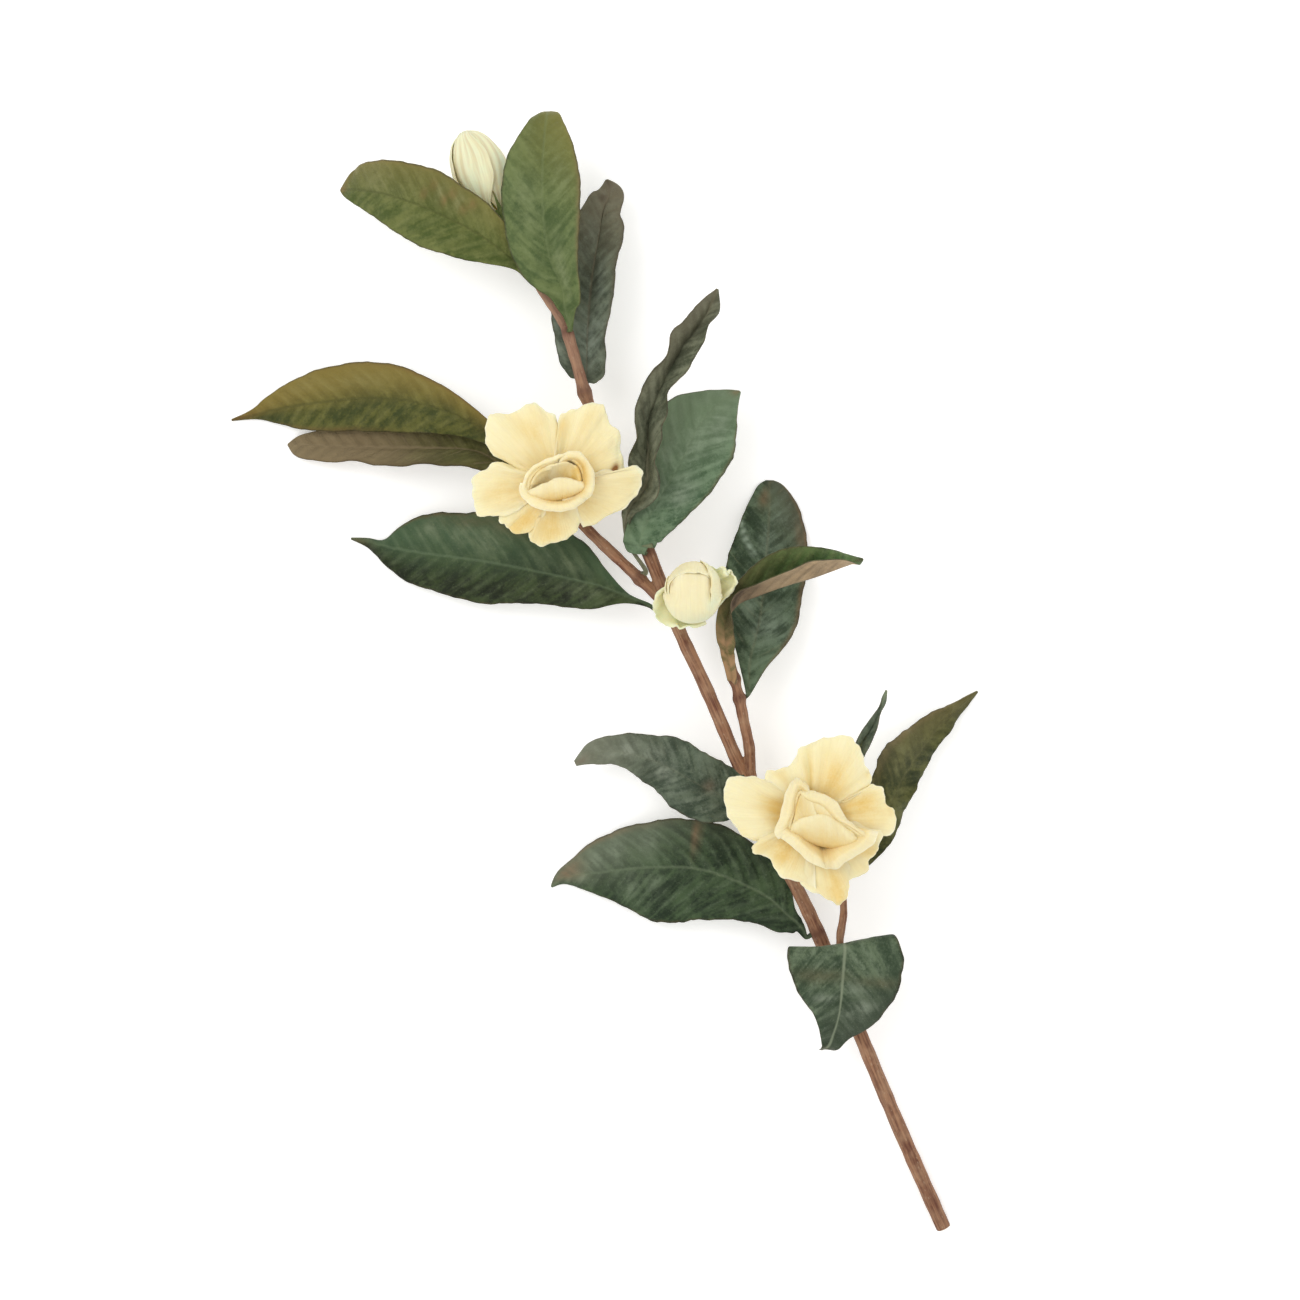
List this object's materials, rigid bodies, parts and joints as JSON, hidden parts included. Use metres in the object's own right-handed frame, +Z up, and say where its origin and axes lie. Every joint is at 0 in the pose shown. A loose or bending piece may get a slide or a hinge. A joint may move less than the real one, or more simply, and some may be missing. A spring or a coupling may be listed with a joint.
{
  "type": "gardenia flower",
  "caption": "Cut gardenia spray lying down: a forked woody stem with leathery leaves, open cream flowers with swirled centres, a half-open bud and a closed bud near the tip.",
  "frame": {"origin": "centre of the spray's bounding box in plan, at the height of the surface that it lies on", "axes": "+Z up from the surface, +Y along the spray from the cut end of the stem towards its leafy tip, +X to the right of the spray seen from above with its tip away from the viewer"},
  "size_m": [0.3786, 0.5616, 0.0744],
  "materials": {
    "stem_bark": "matt reddish brown bark with fine lengthwise streaks",
    "leaf_blade": "leathery dark green, satin, with a pale midrib and side veins",
    "leaf_underside": "matt olive taupe underside with raised slanting veins",
    "petal_cream": "soft matt cream, deeper yellow in the folds",
    "bud_green_cream": "soft matt green-white",
    "calyx_green": "matt mid green"
  },
  "bodies": {
    "root": {"closed_bud_calyx": "calyx_green", "closed_bud_petal_1": "bud_green_cream", "closed_bud_petal_2": "bud_green_cream", "closed_bud_petal_3": "bud_green_cream", "closed_bud_petal_4": "bud_green_cream", "half_open_bud_calyx": "calyx_green", "half_open_bud_heart": "petal_cream", "half_open_bud_lobe_1": "petal_cream", "half_open_bud_lobe_2": "petal_cream", "half_open_bud_petal_1": "petal_cream", "half_open_bud_petal_2": "petal_cream", "half_open_bud_petal_3": "petal_cream", "leaf_low_front": "leaf_blade", "leaf_lower_left_broad": "leaf_blade", "leaf_lower_left_narrow": "leaf_blade", "leaf_lower_right": "leaf_blade", "leaf_mid_left": "leaf_blade", "leaf_mid_right_broad": "leaf_blade", "leaf_mid_right_curled": "leaf_blade", "leaf_right_back": "leaf_blade", "leaf_right_folded": "leaf_blade", "leaf_small_curled": "leaf_blade", "leaf_top_centre": "leaf_blade", "leaf_top_left": "leaf_blade", "leaf_top_right": "leaf_blade", "leaf_upper_left": "leaf_blade", "leaf_upper_left_under": "leaf_underside", "lower_flower_calyx": "calyx_green", "lower_flower_heart_petal_1": "petal_cream", "lower_flower_heart_petal_2": "petal_cream", "lower_flower_inner_petal_1": "petal_cream", "lower_flower_inner_petal_2": "petal_cream", "lower_flower_inner_petal_3": "petal_cream", "lower_flower_outer_petal_1": "petal_cream", "lower_flower_outer_petal_2": "petal_cream", "lower_flower_outer_petal_3": "petal_cream", "lower_flower_outer_petal_4": "petal_cream", "lower_flower_outer_petal_5": "petal_cream", "lower_flower_outer_petal_6": "petal_cream", "lower_flower_ring_petal_1": "petal_cream", "lower_flower_ring_petal_2": "petal_cream", "lower_flower_ring_petal_3": "petal_cream", "middle_flower_calyx": "calyx_green", "middle_flower_heart_petal_1": "petal_cream", "middle_flower_heart_petal_2": "petal_cream", "middle_flower_inner_petal_1": "petal_cream", "middle_flower_inner_petal_2": "petal_cream", "middle_flower_inner_petal_3": "petal_cream", "middle_flower_outer_petal_1": "petal_cream", "middle_flower_outer_petal_2": "petal_cream", "middle_flower_outer_petal_3": "petal_cream", "middle_flower_outer_petal_4": "petal_cream", "middle_flower_outer_petal_5": "petal_cream", "middle_flower_outer_petal_6": "petal_cream", "middle_flower_ring_petal_1": "petal_cream", "middle_flower_ring_petal_2": "petal_cream", "middle_flower_ring_petal_3": "petal_cream", "middle_flower_ring_petal_4": "petal_cream", "woody_stem": "stem_bark"}
  },
  "joints": []
}
